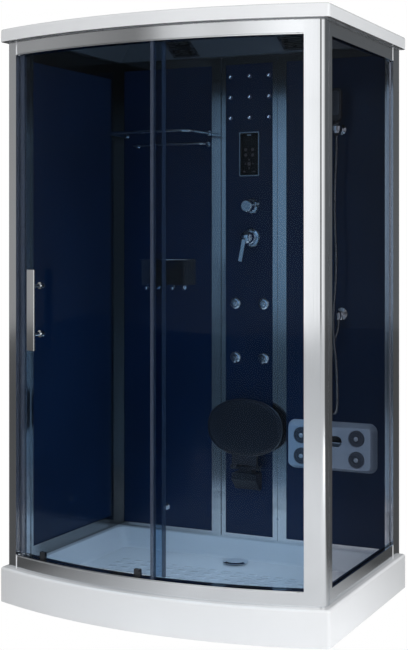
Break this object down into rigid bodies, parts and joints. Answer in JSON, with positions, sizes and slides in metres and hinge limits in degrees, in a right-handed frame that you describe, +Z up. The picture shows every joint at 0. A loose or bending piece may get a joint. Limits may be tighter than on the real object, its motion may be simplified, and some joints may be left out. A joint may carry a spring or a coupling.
{
  "type": "steam shower cabin",
  "caption": "Free-standing steam shower cabin with a bowed front, a sliding curved glass door, low tray, service column, fold-up seat, hand shower and domed roof.",
  "frame": {"origin": "on the floor under the feet, at the centre of the cabin's bounding box in plan", "axes": "+Z up, +X to the right seen from the door side, +Y from the bowed front to the back wall"},
  "size_m": [1.312, 0.9748, 2.2107],
  "materials": {
    "white_acrylic": "high gloss",
    "bright_frame": "polished",
    "tinted_glass": "blue-grey tint, polished",
    "dark_panel": "mirror gloss back-coated glass",
    "seal": "translucent grey",
    "chrome": "bright",
    "steel": "galvanised",
    "brass": "cast",
    "light_lens": "clear lens",
    "keypad_face": "gloss",
    "seat_plastic": "smoked gloss",
    "massager_plastic": "satin",
    "massager_disc": "satin",
    "clear_plastic": "clear",
    "black_plastic": "gloss",
    "dark_plastic": "moulded",
    "nylon": "moulded"
  },
  "bodies": {
    "cabin": {"adjustable_feet": "steel", "back_wall_frames": "bright_frame", "back_wall_panels": "dark_panel", "ceiling_grilles": "black_plastic", "column_frame": "bright_frame", "column_panel": "dark_panel", "control_panel": "keypad_face", "drain_cover": "chrome", "drain_trap": "dark_plastic", "fan_housing": "dark_plastic", "fixed_front_glass": "tinted_glass", "fixed_seals": "seal", "front_bottom_rail": "bright_frame", "front_top_rail": "bright_frame", "handset": "black_plastic", "handset_holder": "chrome", "hose_outlet": "chrome", "jet_bases": "chrome", "led_lights": "light_lens", "left_front_post": "bright_frame", "left_wall_frame": "bright_frame", "left_wall_panel": "dark_panel", "massager_housing": "massager_plastic", "rear_right_post": "bright_frame", "right_front_post": "bright_frame", "roof_panel": "white_acrylic", "seat_bracket": "seat_plastic", "seat_pin": "chrome", "shelf_basket": "clear_plastic", "shelf_brackets": "chrome", "shower_hose": "chrome", "shower_tray": "white_acrylic", "side_glass": "tinted_glass", "side_rails": "bright_frame", "steam_outlet": "chrome", "towel_rails": "chrome", "tray_support_frame": "steel", "valve_body": "brass", "valve_rosettes": "chrome"},
    "door": {"door_glass": "tinted_glass", "door_seals": "seal", "door_handle": "chrome", "door_hangers": "chrome", "door_guides": "black_plastic"},
    "wheel_left": {"upper_wheel_left": "nylon"},
    "wheel_right": {"upper_wheel_right": "nylon"},
    "seat": {"seat_board": "seat_plastic"},
    "mixer": {"mixer_cap": "chrome"},
    "lever": {"mixer_lever": "chrome"},
    "diverter": {"diverter_knob": "chrome"},
    "jet_1": {"jet_nozzle_1": "chrome"},
    "jet_2": {"jet_nozzle_2": "chrome"},
    "jet_3": {"jet_nozzle_3": "chrome"},
    "jet_4": {"jet_nozzle_4": "chrome"},
    "disc_1": {"massage_disc_1": "massager_disc"},
    "disc_2": {"massage_disc_2": "massager_disc"},
    "disc_3": {"massage_disc_3": "massager_disc"},
    "disc_4": {"massage_disc_4": "massager_disc"},
    "rotor": {"fan_rotor": "dark_plastic"}
  },
  "joints": [
    {"name": "door_slide", "type": "hinge", "parent": "cabin", "child": "door", "pos_m": [0, 1.41004, 1.1], "axis": [0, 0, 1], "range_deg": [0, 14.5]},
    {"name": "wheel_left_roll", "type": "hinge", "parent": "door", "child": "wheel_left", "pos_m": [-0.46288, -0.3637, 2.06705], "axis": [0.2525, 0.9676, 0], "range_deg": [-30, 2440]},
    {"name": "wheel_right_roll", "type": "hinge", "parent": "door", "child": "wheel_right", "pos_m": [-0.03484, -0.42277, 2.06705], "axis": [0.019, 0.9998, 0], "range_deg": [-30, 2440]},
    {"name": "seat_fold", "type": "hinge", "parent": "cabin", "child": "seat", "pos_m": [0.004, 0.4125, 0.43], "axis": [1, 0, 0], "range_deg": [0, 90]},
    {"name": "mixer_turn", "type": "hinge", "parent": "cabin", "child": "mixer", "pos_m": [0.012, 0.4085, 1.368], "axis": [0, 1, 0], "range_deg": [-50, 50]},
    {"name": "mixer_lift", "type": "hinge", "parent": "mixer", "child": "lever", "pos_m": [0.012, 0.4085, 1.368], "axis": [-0.9903, 0, 0.1392], "range_deg": [0, 25]},
    {"name": "diverter_turn", "type": "hinge", "parent": "cabin", "child": "diverter", "pos_m": [0.012, 0.4205, 1.497], "axis": [0, 1, 0], "continuous": true},
    {"name": "jet_1_tilt", "type": "hinge", "parent": "cabin", "child": "jet_1", "pos_m": [-0.059, 0.4485, 1.098], "axis": [1, 0, 0], "range_deg": [-12, 12]},
    {"name": "jet_2_tilt", "type": "hinge", "parent": "cabin", "child": "jet_2", "pos_m": [0.067, 0.4485, 1.098], "axis": [1, 0, 0], "range_deg": [-12, 12]},
    {"name": "jet_3_tilt", "type": "hinge", "parent": "cabin", "child": "jet_3", "pos_m": [-0.059, 0.4485, 0.875], "axis": [1, 0, 0], "range_deg": [-12, 12]},
    {"name": "jet_4_tilt", "type": "hinge", "parent": "cabin", "child": "jet_4", "pos_m": [0.067, 0.4485, 0.875], "axis": [1, 0, 0], "range_deg": [-12, 12]},
    {"name": "disc_1_spin", "type": "hinge", "parent": "cabin", "child": "disc_1", "pos_m": [0.2485, 0.4075, 0.5795], "axis": [0, 1, 0], "continuous": true},
    {"name": "disc_2_spin", "type": "hinge", "parent": "cabin", "child": "disc_2", "pos_m": [0.4795, 0.4075, 0.5795], "axis": [0, 1, 0], "continuous": true},
    {"name": "disc_3_spin", "type": "hinge", "parent": "cabin", "child": "disc_3", "pos_m": [0.2485, 0.4075, 0.4965], "axis": [0, 1, 0], "continuous": true},
    {"name": "disc_4_spin", "type": "hinge", "parent": "cabin", "child": "disc_4", "pos_m": [0.4795, 0.4075, 0.4965], "axis": [0, 1, 0], "continuous": true},
    {"name": "fan_spin", "type": "hinge", "parent": "cabin", "child": "rotor", "pos_m": [0.235, 0.36887, 2.1681], "axis": [0, 0.4687, 0.8833], "continuous": true}
  ],
  "couplings": [
    {"joint": "wheel_left_roll", "follows": "door_slide", "ratio": 166.65},
    {"joint": "wheel_right_roll", "follows": "door_slide", "ratio": 166.65}
  ]
}
